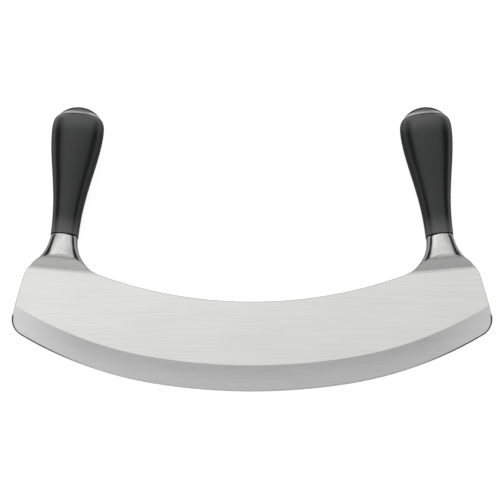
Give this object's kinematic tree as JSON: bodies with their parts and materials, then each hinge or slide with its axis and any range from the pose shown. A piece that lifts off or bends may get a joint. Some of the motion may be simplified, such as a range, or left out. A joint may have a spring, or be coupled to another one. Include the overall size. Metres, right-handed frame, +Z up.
{
  "type": "mezzaluna",
  "caption": "Crescent chopping blade with a wide ground bevel, a flared steel bolster and an upright moulded handle at each end, rocked over herbs on a board.",
  "frame": {"origin": "middle of the footprint on the worktop, with the object lying as it rests, on its blade and both handles", "axes": "+X along the blade to the right, +Y from the cutting edge towards the handles, +Z up from the worktop"},
  "size_m": [0.25, 0.1546, 0.024],
  "materials": {
    "blade_steel": "satin, fine grain along the blade",
    "bolster_steel": "satin, softly brushed",
    "handle_plastic": "moulded, fine satin texture",
    "cap_steel": "polished",
    "hidden_steel": "turned"
  },
  "bodies": {
    "root": {"blade": "blade_steel", "left_bolster": "bolster_steel", "left_tang": "hidden_steel", "left_handle": "handle_plastic", "left_washer": "hidden_steel", "left_tang_nut": "hidden_steel", "left_end_cap": "cap_steel", "right_bolster": "bolster_steel", "right_tang": "hidden_steel", "right_handle": "handle_plastic", "right_washer": "hidden_steel", "right_tang_nut": "hidden_steel", "right_end_cap": "cap_steel"}
  },
  "joints": []
}
